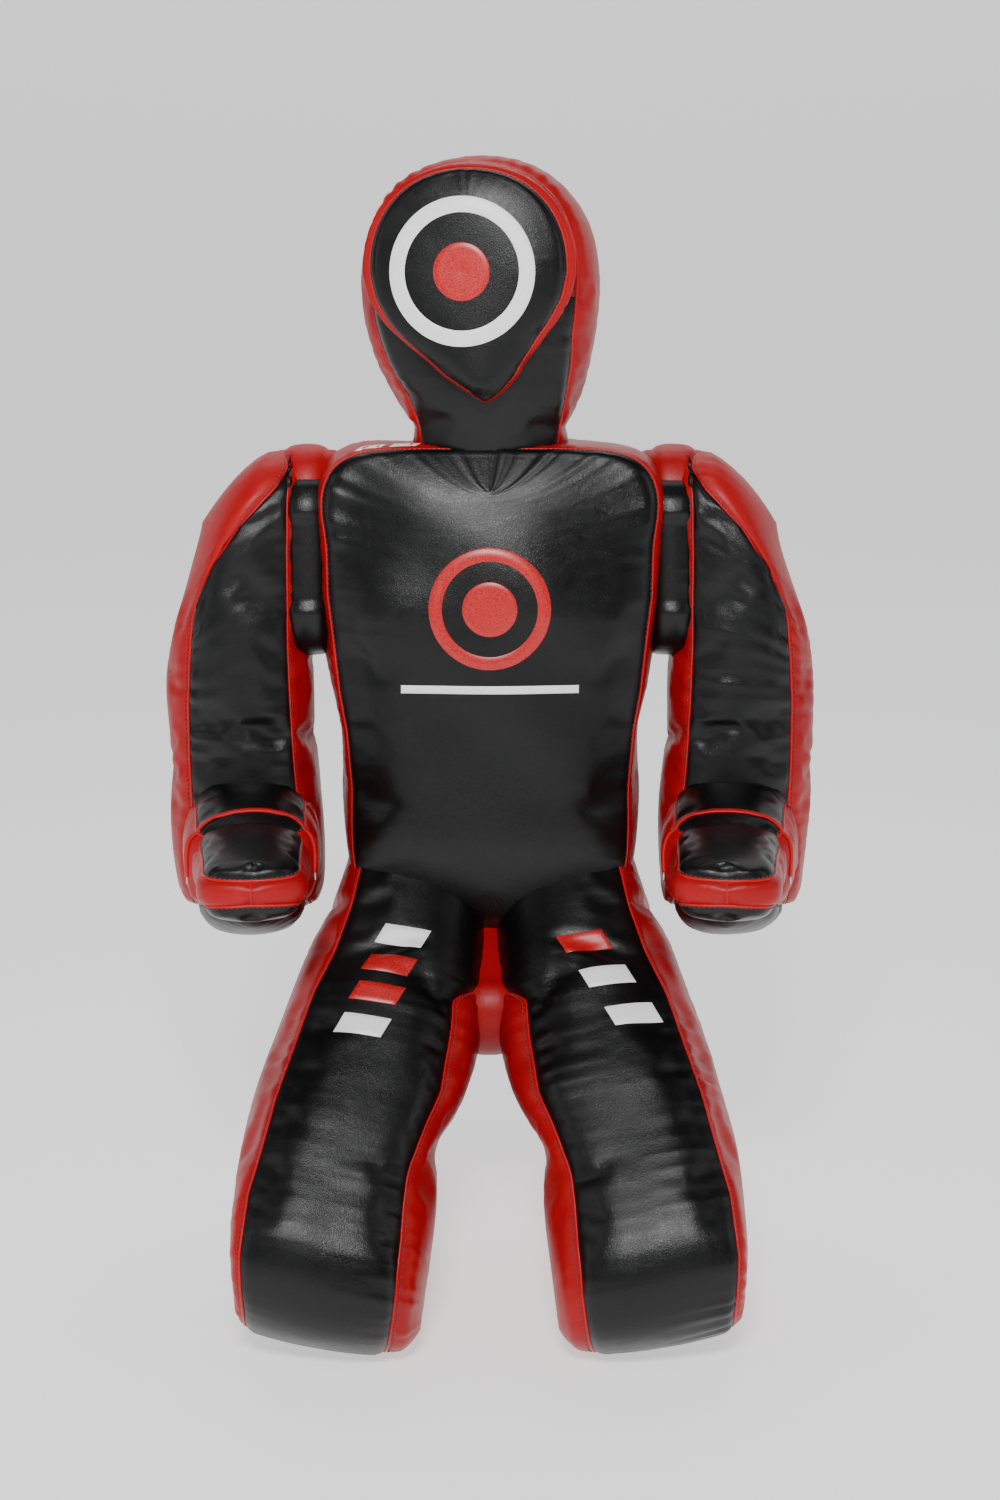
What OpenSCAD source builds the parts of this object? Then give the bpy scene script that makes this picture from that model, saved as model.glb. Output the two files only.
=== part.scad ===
// Kneeling grappling dummy: a stuffed figure with sewn vinyl covers.
// It kneels on its shins, faces -Y, and its own left side is +X.
// Every limb length is a stuffed core under two cover panels joined by side gussets.

/* [Body] */
// Height of the shoulder line above the floor
shoulder_z = 845; // [835:1:860]
// Distance from front to back of the torso
torso_depth = 190; // [180:2:210]
// Half the torso's width at the shoulders
shoulder_half_w = 176; // [165:1:176]
// Half the torso's width at the waist
waist_half_w = 160; // [150:1:165]
// Thickness of the vinyl with its lining
cover_t = 1.6; // [1.2:0.2:2.4]

/* [Head] */
// Highest point of the hood
head_top_z = 1125; // [1118:1:1130]
// Half the width of the hood at the ears
head_half_w = 117; // [108:1:120]
// Radius of the neck
neck_r = 78; // [70:1:80]
// Thickness of the pad behind the face panel
face_pad_t = 26; // [20:1:34]

/* [Arms] */
// Distance of each arm's middle from the middle of the body
arm_x = 252; // [250:1:262]
// Width of the upper arm
arm_w = 140; // [130:2:142]
// Width of the hand
hand_w = 110; // [100:2:112]
// How far each forearm turns in towards the middle, in degrees
turn_in = 7; // [0:1:7]

/* [Legs] */
// Distance of each hip's middle from the middle of the body
hip_x = 84; // [84:1:86]
// How far each thigh leans outward, in degrees
splay = 11.8; // [10.4:0.2:11.8]
// Width of the leg at the knee
leg_w = 180; // [170:2:182]
// Width of the leg at the hip
hip_w = 144; // [136:2:144]
// Length of the thigh from hip to knee
thigh_len = 400; // [385:5:410]
// Forward lean of the thigh from upright, in degrees
thigh_lean = 42; // [38:1:44]
// Radius of the knee
knee_r = 86; // [82:1:90]

/* [Zip] */
// Distance from one zip tooth to the next
zip_pitch = 5; // [4:0.5:7]
// Travel of the zip's slider
zip_travel = 300; // [200:10:310]

/* [Hidden] */
$fn = 64;

black = "#17181a";
red = "#b01020";
white = "#e6e6e6";
stuffing = "#9a8f80";

lining = 0.2;         // clearance between a stuffed core and its cover
joint_gap = 0.6;      // clearance of a rounded joint end in its neighbour
inset = cover_t + lining;
far = 600;            // reach of a half-plane cutter
film_t = 0.4;         // thickness of a printed film

// Places in the side view are [y, z], counted from the middle of the torso's depth.
// The thigh's own frame is rolled outward about the hip, so its knee is given twice.
drop = thigh_len * cos(thigh_lean);
reach = thigh_len * sin(thigh_lean);
hip = [-10, knee_r + drop * cos(splay)];
hip_r = 82;
knee_in_thigh = [hip[0] - reach, hip[1] - drop];
knee = [hip[0] - reach, knee_r];
knee_x = hip_x + drop * sin(splay);
tuck = 1;              // how far a limb's straight sides run inside its round ends
shin_r = 82;
shin_top = [knee[0], shin_r - tuck];
ankle_r = 61;
ankle = [108, ankle_r - tuck];
toe_r = 36;
front_y = knee[0] - knee_r;
centre_y = -(front_y + 274) / 2;   // the torso stands this far behind the middle of the footprint
toe = [274 - toe_r, toe_r];
instep_r = 52;
shoulder = [0, 772];
shoulder_r = 72;
elbow = [0, 425];
elbow_r = 72;
wrist = [-150, 443];
forearm_r = 66;
wrist_r = 46;
palm_r = 38;
fingertip = [-275, 452];
fingertip_r = 20;
forearm_w = 120;
shin_w = 156;
foot_w = 104;
neck = [0, shoulder_z];
head_mid = [-6, head_top_z - 113];
head_r = 122;
face_mid_z = head_top_z - head_half_w;
face_y = -88;
half_depth = torso_depth / 2;
torso_low = 400;
crotch_low = 330;

// Largest bends, which set how far each neighbour is cut back.
hip_lift = 12;
hip_back = 25;
knee_fold = 6;
elbow_lift = 20;
wrist_bend = 20;
ankle_bend = 20;
nod = 20;

// ---- shapes ----

// A side-view outline drawn across the body from x0 to x1.
module across(x0, x1) {
    translate([x0, 0, 0]) rotate([90, 0, 90]) linear_extrude(x1 - x0) children();
}

// A front-view outline drawn from y0 back to y1.
module through(y0, y1) {
    translate([0, y1, 0]) rotate([90, 0, 0]) linear_extrude(y1 - y0) children();
}

function bearing(a, b) = atan2(b[1] - a[1], b[0] - a[0]);
function polar(c, r, angle) = [c[0] + r * cos(angle), c[1] + r * sin(angle)];

// The four corners of the straight part, whose sides run just inside the round ends.
function sides(a, ra, b, rb) =
    let (way = bearing(a, b), lean = acos((ra - rb) / norm(b - a)))
    [polar(a, ra - tuck, way - lean), polar(b, rb - tuck, way - lean),
     polar(b, rb - tuck, way + lean), polar(a, ra - tuck, way + lean)];

// A long outline with a round end at a and at b.
module capsule(a, ra, b, rb) {
    translate(a) circle(ra);
    translate(b) circle(rb);
    polygon(sides(a, ra, b, rb));
}

// A limb's outline: round at a if round_a is true, always round at b.
module outline(a, ra, b, rb, round_a) {
    if (round_a) capsule(a, ra, b, rb);
    else {
        translate(b) circle(rb);
        polygon(sides(a, ra, b, rb));
    }
}

// Everything on one side of the line through c at the given angle: side 1 is to its left.
module half_plane(c, angle, side) {
    translate(c) rotate(angle) translate([-far, side > 0 ? 0 : -far]) square([2 * far, far]);
}

// One layer of a limb centred on x: its core, its two panels or its two gussets.
module layer(part, x, a, ra, b, rb, w, round_a = true, hole = 0) {
    if (part == "fill")
        across(x - w / 2 + inset, x + w / 2 - inset)
            outline(a, ra - inset, b, rb - inset, round_a);
    if (part == "gussets")
        for (e = [-w / 2, w / 2 - cover_t])
            across(x + e, x + e + cover_t) difference() {
                outline(a, ra, b, rb, round_a);
                if (e < 0 && hole > 0) translate(a) circle(hole);
            }
    if (part == "panels")
        across(x - w / 2 + cover_t, x + w / 2 - cover_t)
            difference() {
                outline(a, ra, b, rb, round_a);
                outline(a, ra - cover_t, b, rb - cover_t, round_a);
            }
}

function layer_colour(part) = part == "fill" ? stuffing : part == "panels" ? black : red;

// The body's own place in the footprint, and the right side as a mirror of the left.
module placed(side = 1) {
    translate([0, centre_y, 0]) scale_side(side) children();
}
module scale_side(side) {
    if (side > 0) children();
    else mirror([1, 0, 0]) children();
}

// The thigh's frame, rolled outward about the hip, and the forearm's, turned in at the elbow.
module rolled() {
    translate([hip_x, 0, hip[1]]) rotate([0, -splay, 0]) translate([-hip_x, 0, -hip[1]])
        children();
}
module turned() {
    translate([arm_x, elbow[0], 0]) rotate([0, 0, -turn_in]) translate([-arm_x, -elbow[0], 0])
        children();
}

module above_floor(d = 0) {
    intersection() {
        children();
        translate([-far, -far, d]) cube([2 * far, 2 * far, 2 * far]);
    }
}

// ---- space that each moving neighbour needs ----

// Each thigh from as far back as it goes to as far up as it goes.
module thigh_sweep() {
    for (side = [-1, 1])
        scale_side(side) intersection() {
            rolled() across(-far / 4, far / 2) {
                translate(hip) circle(hip_r + joint_gap);
                difference() {
                    half_plane(polar(hip, hip_r + joint_gap, 180 - thigh_lean - hip_lift),
                               90 - thigh_lean - hip_lift, -1);
                    translate([hip[0], hip[1] - far]) square([far, 2 * far]);
                }
                difference() {
                    translate([hip[0] - 1, hip[1] - far]) square([far, far]);
                    half_plane(polar(hip, hip_r + joint_gap, -thigh_lean + hip_back),
                               90 - thigh_lean + hip_back, -1);
                }
            }
            translate([-1, -far, 0]) cube([far, 2 * far, 2 * far]);
        }
}

module neck_sweep() {
    across(-neck_r - joint_gap, neck_r + joint_gap) translate(neck) circle(neck_r + joint_gap);
}

// ---- torso ----

module torso_outline(d = 0) {
    polygon([
        [-waist_half_w + d, torso_low + d], [waist_half_w - d, torso_low + d],
        [waist_half_w + 4 - d, 520], [shoulder_half_w - d, 660],
        [shoulder_half_w - d, shoulder_z - 30], [shoulder_half_w - 30 - d / 2, shoulder_z - d],
        [-shoulder_half_w + 30 + d / 2, shoulder_z - d], [-shoulder_half_w + d, shoulder_z - 30],
        [-shoulder_half_w + d, 660], [-waist_half_w - 4 + d, 520]
    ]);
}

module torso_cut() {
    difference() {
        children();
        thigh_sweep();
        neck_sweep();
        shoulder_sweep();
    }
}

module torso_fill() {
    color(stuffing) placed() difference() {
        torso_cut() {
            through(-half_depth + inset, half_depth - inset) torso_outline(inset);
            through(seat_y, half_depth - inset) seat_outline(inset);
        }
        through(zip_y - tape_t - lining, half_depth)
            translate([-tape_w - 1, slider_start - zip_travel - 30])
                square([2 * tape_w + 2, far]);
    }
}

// The seat hangs behind the hips, below the back of the torso.
seat_y = 74;
module seat_outline(d = 0) {
    translate([-waist_half_w + d, crotch_low + d])
        square([2 * (waist_half_w - d), torso_low - crotch_low + 2 * d]);
}

module chest_panel() {
    color(black) placed() torso_cut()
        through(-half_depth, -half_depth + cover_t) torso_outline();
}

// The back is two panels with the zip between them.
zip_gap = 7;
module back_panel(side) {
    color(black) placed(side) torso_cut()
        through(half_depth - cover_t, half_depth)
            intersection() {
                union() {
                    torso_outline();
                    seat_outline();
                }
                translate([zip_gap, 0]) square([far, 2 * far]);
            }
}

module torso_side_gussets() {
    color(red) placed() torso_cut()
        through(-half_depth + cover_t, half_depth - cover_t)
            difference() {
                torso_outline();
                torso_outline(cover_t);
                translate([-far, shoulder_z - 60]) square([2 * far, 100]);
                translate([-far, 0]) square([2 * far, torso_low + cover_t]);
            }
}

module shoulder_gussets() {
    color(red) placed() torso_cut()
        through(-half_depth + cover_t, half_depth - cover_t)
            intersection() {
                difference() {
                    torso_outline();
                    torso_outline(cover_t);
                }
                translate([-far, shoulder_z - 60]) square([2 * far, 100]);
            }
}

// A strip that closes the covers between the two thighs, midway between their tilted hips.
crotch_half_w = 3;
crotch_gap = 4;
crotch = [hip[0], hip[1] - hip_x * tan(splay)];
module crotch_gusset() {
    color(red) placed()
        across(-crotch_half_w, crotch_half_w)
            difference() {
                translate(crotch) circle(hip_r - crotch_gap);
                translate([-far, torso_low + 20]) square([2 * far, far]);
                translate([-far, -far]) square([2 * far, far + crotch_low + crotch_gap]);
            }
}

// A round target with a plain bar beneath it.
chest_print_z = 688;
module chest_print() {
    color(red) placed()
        through(-half_depth - film_t, -half_depth) {
            translate([0, chest_print_z]) difference() {
                circle(60);
                circle(47);
            }
            translate([0, chest_print_z]) circle(24);
            translate([-88, chest_print_z - 80]) square([176, 8]);
        }
}

// ---- zip ----

zip_top = 800;
zip_y = half_depth - cover_t - lining;   // outer face of the tapes
tape_t = 0.8;
tape_w = 14;
tooth = [3.4, 2.2, 2.4];                 // across, through and along the zip
tooth_gap = 0.3;
teeth_n = floor(zip_travel / zip_pitch) + 2;
slider_len = 16;
slider_start = zip_top - slider_len / 2 - 3;
pin_r = 1.1;
lug_y = zip_y + 8.6;

module zip_tapes() {
    color(black) placed()
        for (side = [-1, 1])
            scale_side(side)
                translate([tooth_gap, zip_y - tape_t, slider_start - zip_travel - 24])
                    cube([tape_w, tape_t - lining, zip_travel + 40]);
}

module zip_teeth() {
    color(black) placed()
        for (side = [-1, 1], i = [0:teeth_n - 1])
            scale_side(side)
                translate([tooth_gap, zip_y - lining,
                           zip_top - 12 - (i + (side > 0 ? 0 : 0.5)) * zip_pitch])
                    cube(tooth);
}

module zip_stops() {
    color("silver") placed()
        for (z = [zip_top + 1, slider_start - zip_travel - slider_len / 2 - 8])
            translate([-4, zip_y - lining, z]) cube([8, 3, 4]);
}

// A cap that straddles the teeth, with two lugs and a pin for the pull.
module zip_slider() {
    color("silver") placed() {
        difference() {
            translate([-6, zip_y, slider_start - slider_len / 2]) cube([12, 4.6, slider_len]);
            translate([-4.1, zip_y - 1, slider_start - slider_len])
                cube([8.2, 3.6, 2 * slider_len]);
        }
        for (x = [-5, 3.4])
            across(x, x + 1.6) difference() {
                translate([zip_y + 4.4, slider_start - 3]) square([lug_y - zip_y - 1.8, 6]);
                translate([lug_y, slider_start]) circle(pin_r);
            }
        across(-5, 5) translate([lug_y, slider_start]) circle(pin_r);
    }
}

module zip_pull() {
    color("silver") placed()
        difference() {
            union() {
                across(-3, 3) translate([lug_y, slider_start]) circle(2.6);
                across(-3, 3) translate([lug_y - 0.8, slider_start - 12]) square([1.6, 12]);
                across(-5, 5) translate([lug_y - 0.8, slider_start - 36]) square([1.6, 26]);
            }
            across(-4, 4) translate([lug_y, slider_start]) circle(pin_r + 0.06);
        }
}

// ---- head ----

nod_clear = 34;   // how far above the neck's axis the hood starts to widen

module head_side(d = 0) {
    translate(neck) circle(neck_r - d);
    translate(head_mid) circle(head_r - d);
    polygon([
        polar(neck, neck_r - d - tuck, nod), polar(head_mid, head_r - d - tuck, -2),
        polar(head_mid, head_r - d - tuck, 182), polar(neck, neck_r - d - tuck, 180 - nod)
    ]);
}

module head_front(d = 0) {
    translate([0, face_mid_z]) circle(head_half_w - d);
    polygon([
        [-neck_r + d, 0], [neck_r - d, 0],
        [neck_r - d, neck[1] + nod_clear], polar([0, face_mid_z], head_half_w - d - tuck, -10),
        polar([0, face_mid_z], head_half_w - d - tuck, 190), [-neck_r + d, neck[1] + nod_clear]
    ]);
}

// The head's solid form, cut flat where the face pad sits.
module head_form(d = 0) {
    difference() {
        intersection() {
            across(-far, far) head_side(d);
            through(-far, far) head_front(d);
        }
        through(-far, face_y + d) translate([-far, chin_z - 30]) square([2 * far, far]);
    }
}

chin_z = 897;
chin_r = 20;
face_r = 103;

module face_outline(d = 0) {
    capsule([0, face_mid_z], face_r - d, [0, chin_z + chin_r], chin_r - d);
}

// The front of the neck, below the face.
neck_panel_half_w = 62;
neck_panel_top = 945;
module neck_zone() {
    translate([-neck_panel_half_w, -far, 0]) cube([2 * neck_panel_half_w, far, neck_panel_top]);
}

module head_shell() {
    difference() {
        head_form();
        head_form(cover_t);
    }
}

module head_fill() { color(stuffing) placed() head_form(inset); }

module hood() {
    color(red) placed() difference() {
        head_shell();
        neck_zone();
    }
}

module neck_panel() {
    color(black) placed() intersection() {
        head_shell();
        neck_zone();
    }
}

face_front_y = face_y - face_pad_t;

module face_pad() {
    color(stuffing) placed()
        through(face_front_y + inset, face_y - lining) face_outline(inset);
}

module face_gusset() {
    color(red) placed()
        through(face_front_y + cover_t, face_y) difference() {
            face_outline();
            face_outline(cover_t);
        }
}

module face_panel() {
    color(black) placed() through(face_front_y, face_front_y + cover_t) face_outline();
}

target_z = 1012;
module target_ring() {
    color(white) placed()
        through(face_front_y - film_t, face_front_y) translate([0, target_z]) difference() {
            circle(68);
            circle(54);
        }
}

module target_dot() {
    color(red) placed()
        through(face_front_y - film_t, face_front_y) translate([0, target_z]) circle(26);
}

// ---- arms ----

stub_r = 56;
stub_in = 150;   // how far from the middle of the body the stub starts
module upper_arm(side, part) {
    color(layer_colour(part)) placed(side) {
        layer(part, arm_x, shoulder, shoulder_r, elbow, elbow_r, arm_w, true,
              stub_r + lining);
        if (part == "fill") across(stub_in, arm_x) translate(shoulder) circle(stub_r);
    }
}

// The torso's sockets for both arms' stubs.
module shoulder_sweep() {
    for (side = [-1, 1])
        scale_side(side) across(stub_in - joint_gap, arm_x)
            translate(shoulder) circle(stub_r + joint_gap);
}

// The upper arm as the forearm meets it when the elbow is bent furthest.
module upper_arm_sweep() {
    across(0, far) {
        translate(elbow) circle(elbow_r + joint_gap);
        half_plane(polar(elbow, elbow_r + joint_gap, 180 + elbow_lift), 90 + elbow_lift, -1);
    }
}

module forearm(side, part) {
    color(layer_colour(part)) placed(side) difference() {
        turned() difference() {
            layer(part, arm_x, elbow, forearm_r, wrist, wrist_r, forearm_w, false);
            across(0, far) rocking(wrist, palm_r, bearing(wrist, fingertip), wrist_bend);
        }
        upper_arm_sweep();
    }
}

// The space of a rounded root at c that rocks both ways about the given heading.
module rocking(c, r, heading, bend) {
    translate(c) circle(r + joint_gap);
    half_plane(c, heading + 90 + bend, -1);
    half_plane(c, heading - 90 - bend, 1);
}

module hand(side, part) {
    color(layer_colour(part)) placed(side) turned()
        layer(part, arm_x, wrist, palm_r, fingertip, fingertip_r, hand_w);
}

// A strap over the top of the wrist, sewn down at both sides.
strap_w = 12;
strap_behind = 24;   // how far behind the wrist the strap starts
strap_drop = 16;     // how far its ends come down past the wrist's middle
module strap_outer(d) {
    across(arm_x - forearm_w / 2 - d, arm_x + forearm_w / 2 + d)
        outline(elbow, forearm_r + d, wrist, wrist_r + d, false);
}
module wrist_strap(side) {
    color(red) placed(side) turned()
        intersection() {
            difference() {
                strap_outer(lining + cover_t);
                strap_outer(lining);
            }
            translate([0, wrist[0] + strap_behind, wrist[1] - strap_drop])
                cube([far, strap_w, far]);
        }
}

// ---- legs ----

// The thigh narrows towards the hip, and its knee is flattened where it kneels.
module thigh_front(d) {
    low = knee_in_thigh[1] - far / 4;
    high = hip[1] + hip_r + 10;
    slope = (leg_w - hip_w) / 2 / (hip[1] - knee_in_thigh[1]);
    wide_low = leg_w / 2 + slope * far / 4 - d;
    wide_high = hip_w / 2 - slope * (hip_r + 10) - d;
    polygon([
        [hip_x - wide_low, low], [hip_x + wide_low, low],
        [hip_x + wide_high, high], [hip_x - wide_high, high]
    ]);
}
module thigh_form(side_d, d) {
    above_floor(d) rolled() intersection() {
        across(-far, far) outline(hip, hip_r - d, knee_in_thigh, knee_r - d, true);
        through(-far, far) thigh_front(side_d);
    }
}
module thigh(side, part) {
    color(layer_colour(part)) placed(side) {
        if (part == "fill") thigh_form(inset, inset);
        if (part == "panels") difference() {
            thigh_form(cover_t, 0);
            thigh_form(0, cover_t);
        }
        if (part == "gussets") difference() {
            thigh_form(0, 0);
            rolled() through(-far, far) thigh_front(cover_t);
        }
    }
}

// The thigh as the shin meets it when the knee is folded furthest.
module thigh_seat() {
    lean = 90 - thigh_lean - knee_fold;
    rolled() across(-far, far) {
        translate(knee_in_thigh) circle(knee_r + joint_gap);
        half_plane(polar(knee_in_thigh, knee_r + joint_gap, lean - 90), lean, 1);
    }
}

module shin(side, part) {
    color(layer_colour(part)) placed(side) above_floor() difference() {
        layer(part, knee_x, shin_top, shin_r, ankle, ankle_r, shin_w, false);
        thigh_seat();
        across(0, far) rocking(ankle, instep_r, bearing(ankle, toe), ankle_bend);
    }
}

module foot(side, part) {
    color(layer_colour(part)) placed(side) above_floor()
        layer(part, knee_x, ankle, instep_r, toe, toe_r, foot_w);
}

torso_fill();
chest_panel();
back_panel(1);  // back_panel_left
back_panel(-1);  // back_panel_right
torso_side_gussets();
shoulder_gussets();
crotch_gusset();
zip_tapes();
zip_teeth();
zip_stops();
zip_slider();
zip_pull();
chest_print();
head_fill();
hood();
neck_panel();
face_pad();
face_gusset();
face_panel();
target_ring();
target_dot();
upper_arm(1, "fill");  // upper_arm_fill_left
upper_arm(1, "panels");  // upper_arm_panels_left
upper_arm(1, "gussets");  // upper_arm_gussets_left
forearm(1, "fill");  // forearm_fill_left
forearm(1, "panels");  // forearm_panels_left
forearm(1, "gussets");  // forearm_gussets_left
wrist_strap(1);  // wrist_strap_left
hand(1, "fill");  // hand_fill_left
hand(1, "panels");  // hand_panels_left
hand(1, "gussets");  // hand_gussets_left
thigh(1, "fill");  // thigh_fill_left
thigh(1, "panels");  // thigh_panels_left
thigh(1, "gussets");  // thigh_gussets_left
shin(1, "fill");  // shin_fill_left
shin(1, "panels");  // shin_panels_left
shin(1, "gussets");  // shin_gussets_left
foot(1, "fill");  // foot_fill_left
foot(1, "panels");  // foot_panels_left
foot(1, "gussets");  // foot_gussets_left
upper_arm(-1, "fill");  // upper_arm_fill_right
upper_arm(-1, "panels");  // upper_arm_panels_right
upper_arm(-1, "gussets");  // upper_arm_gussets_right
forearm(-1, "fill");  // forearm_fill_right
forearm(-1, "panels");  // forearm_panels_right
forearm(-1, "gussets");  // forearm_gussets_right
wrist_strap(-1);  // wrist_strap_right
hand(-1, "fill");  // hand_fill_right
hand(-1, "panels");  // hand_panels_right
hand(-1, "gussets");  // hand_gussets_right
thigh(-1, "fill");  // thigh_fill_right
thigh(-1, "panels");  // thigh_panels_right
thigh(-1, "gussets");  // thigh_gussets_right
shin(-1, "fill");  // shin_fill_right
shin(-1, "panels");  // shin_panels_right
shin(-1, "gussets");  // shin_gussets_right
foot(-1, "fill");  // foot_fill_right
foot(-1, "panels");  // foot_panels_right
foot(-1, "gussets");  // foot_gussets_right
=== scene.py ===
import math
import bpy
import numpy as np
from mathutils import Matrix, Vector
from mathutils.bvhtree import BVHTree


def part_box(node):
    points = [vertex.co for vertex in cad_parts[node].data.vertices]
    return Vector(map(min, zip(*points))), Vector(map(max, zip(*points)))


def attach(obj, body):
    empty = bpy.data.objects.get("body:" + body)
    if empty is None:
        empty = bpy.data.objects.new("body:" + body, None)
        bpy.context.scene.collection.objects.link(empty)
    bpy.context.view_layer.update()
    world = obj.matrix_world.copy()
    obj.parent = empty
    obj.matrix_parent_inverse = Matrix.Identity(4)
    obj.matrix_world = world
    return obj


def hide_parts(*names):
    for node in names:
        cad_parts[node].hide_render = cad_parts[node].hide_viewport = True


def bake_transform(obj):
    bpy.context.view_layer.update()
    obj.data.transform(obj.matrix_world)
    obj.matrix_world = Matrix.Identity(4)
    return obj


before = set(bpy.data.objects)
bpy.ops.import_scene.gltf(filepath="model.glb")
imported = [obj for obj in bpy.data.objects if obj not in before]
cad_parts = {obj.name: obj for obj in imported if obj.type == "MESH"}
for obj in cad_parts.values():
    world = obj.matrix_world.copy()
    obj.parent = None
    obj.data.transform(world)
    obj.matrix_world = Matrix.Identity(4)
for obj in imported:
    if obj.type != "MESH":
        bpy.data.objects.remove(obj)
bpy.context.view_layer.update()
Y0 = 0.5 * (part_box("torso_fill")[0].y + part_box("torso_fill")[1].y)   # the torso's middle plane


# ---------------------------------------------------------------- helpers
def waves(p, length, seed, n=9):
    """Smooth noise of about -1 to 1 from plane waves of roughly one wavelength."""
    r = np.random.default_rng(seed)
    out = np.zeros(p.shape[:-1])
    for _ in range(n):
        d = r.normal(size=3)
        d /= np.linalg.norm(d)
        k = 2 * math.pi / (length * r.uniform(0.7, 1.5))
        out += np.sin(p @ d * k + r.uniform(0, 6.283))
    return out / math.sqrt(n) * 0.8


def ruffle(s, length, seed, n=5):
    """Noise along a line, sharper at its valleys, like the puckers beside a seam."""
    r = np.random.default_rng(seed)
    out = np.zeros(s.shape)
    for _ in range(n):
        k = 2 * math.pi / (length * r.uniform(0.65, 1.6))
        out += np.sin(s * k + r.uniform(0, 6.283))
    return np.abs(out / math.sqrt(n)) * 1.6 - 0.7


def smooth(x, a, b):
    t = np.clip((x - a) / (b - a), 0, 1)
    return t * t * (3 - 2 * t)


def table(pairs):
    xs, ys = zip(*pairs)
    return lambda x: np.interp(x, xs, ys)


def unit(v):
    return v / np.maximum(np.linalg.norm(v, axis=-1, keepdims=True), 1e-12)


# ---------------------------------------------------------------- stuffed forms
class Form:
    """A stuffed shape between two plates, with a band round its outline.
    grid[t, j] runs round the outline in t, and in j from the middle of one plate, out over the band
    and back in to the middle of the other."""

    def __init__(self, name, a, b, side, caps, squares, place, thick, path, step=0.010, shift=None):
        self.name, self.step = name, step
        a, b = np.array(a, float), np.array(b, float)
        axis = unit(b - a)
        across = np.array([axis[1], -axis[0]])
        length = np.linalg.norm(b - a)
        n = max(4, int(round(length / step)))
        tau = np.linspace(0, 1, n + 1)
        rows, mids = [], []

        def cap(end, way, r, reach, m):
            phi = np.linspace(0, math.pi, 400)
            k = (np.abs(np.cos(phi)) ** m + np.abs(np.sin(phi)) ** m) ** (-1 / m)
            xy = np.stack([r * np.cos(phi) * k, reach * np.sin(phi) * k], 1)
            s = np.r_[0, np.cumsum(np.linalg.norm(np.diff(xy, axis=0), axis=1))]
            count = max(6, 2 * int(round(s[-1] / step / 2)))
            at = np.interp(np.linspace(0, s[-1], count + 1)[1:-1], s, phi)
            k = (np.abs(np.cos(at)) ** m + np.abs(np.sin(at)) ** m) ** (-1 / m)
            for f, kk in zip(at, k):
                c, q = math.cos(f) * kk, math.sin(f) * kk
                rows.append(end + way * (across * r * c) + way * axis * reach * q)
                mids.append(end + way * axis * reach * 0.55 * min(1.0, q))

        for t in tau:                                   # up one side
            rows.append(a + (b - a) * t + across * side(t)[0])
            mids.append(a + (b - a) * t)
        cap(b, 1, side(1)[0], caps[1], squares[1])
        for t in tau[::-1]:                             # down the other
            rows.append(a + (b - a) * t - across * side(t)[1])
            mids.append(a + (b - a) * t)
        cap(a, -1, side(0)[0], caps[0], squares[0])
        rows, mids = np.array(rows), np.array(mids)
        rho, zeta, self.seams, self.part = path(step)
        rho, zeta = np.tile(rho, (len(rows), 1)), np.tile(zeta, (len(rows), 1))
        if shift is not None:                           # slides the seams along the section, row by row
            down, up = shift(rows[:, 0], rows[:, 1])
            j1, j2, last = *self.seams, rho.shape[1] - 1
            at, base_r, base_z = np.arange(last + 1), rho[0].copy(), zeta[0].copy()
            for i in range(len(rows)):
                to = np.interp(at, [0, j1, j2, last], [0, j1 + down[i] * (j2 - j1), j2 - up[i] * (j2 - j1), last])
                rho[i], zeta[i] = np.interp(to, at, base_r), np.interp(to, at, base_z)
        plane = mids[:, None, :] + rho[..., None] * (rows - mids)[:, None, :]
        lo, hi = thick(plane[..., 0], plane[..., 1])
        z = zeta
        self.grid = place(plane[..., 0], plane[..., 1], np.where(z > 0, z * hi, z * lo))
        key = np.round(self.grid.reshape(-1, 3), 6)
        _, first, inverse = np.unique(key, axis=0, return_index=True, return_inverse=True)
        self.first, self.inverse = first, inverse.reshape(-1)
        self.even(14)

    def even(self, rounds, where=None):
        """Smooths each plate's middle, where its rows meet, on the welded mesh; where(points) weighs it."""
        shape = self.grid.shape[:2]
        quads = self.quads(shape, self.inverse)
        pairs = np.concatenate([quads[:, [0, 1]], quads[:, [1, 2]], quads[:, [2, 3]], quads[:, [3, 0]]])
        pairs = np.unique(np.sort(pairs[pairs[:, 0] != pairs[:, 1]], 1), axis=0)
        v = self.grid.reshape(-1, 3)[self.first].copy()
        j = np.arange(shape[1])
        far = np.maximum(self.seams[0] - j, j - self.seams[1])
        free = np.zeros(len(v))
        for t in range(shape[0]):
            free[self.inverse.reshape(shape)[t]] = np.clip((far - 1) / 4, 0, 1)
        if where is not None:
            free *= where(v)
        for _ in range(rounds):
            total, count = np.zeros_like(v), np.zeros(len(v))
            for a, b in ((0, 1), (1, 0)):
                np.add.at(total, pairs[:, a], v[pairs[:, b]])
                np.add.at(count, pairs[:, a], 1)
            v += 0.6 * free[:, None] * (total / np.maximum(count, 1)[:, None] - v)
        self.grid = v[self.inverse].reshape(*shape, 3)

    def quads(self, shape, inverse):
        t, p = shape
        i = np.arange(t)[:, None] * p + np.arange(p - 1)[None, :]
        k = ((np.arange(t) + 1) % t)[:, None] * p + np.arange(p - 1)[None, :]
        q = np.stack([i, k, k + 1, i + 1], -1).reshape(-1, 4)
        return inverse[q]


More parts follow.
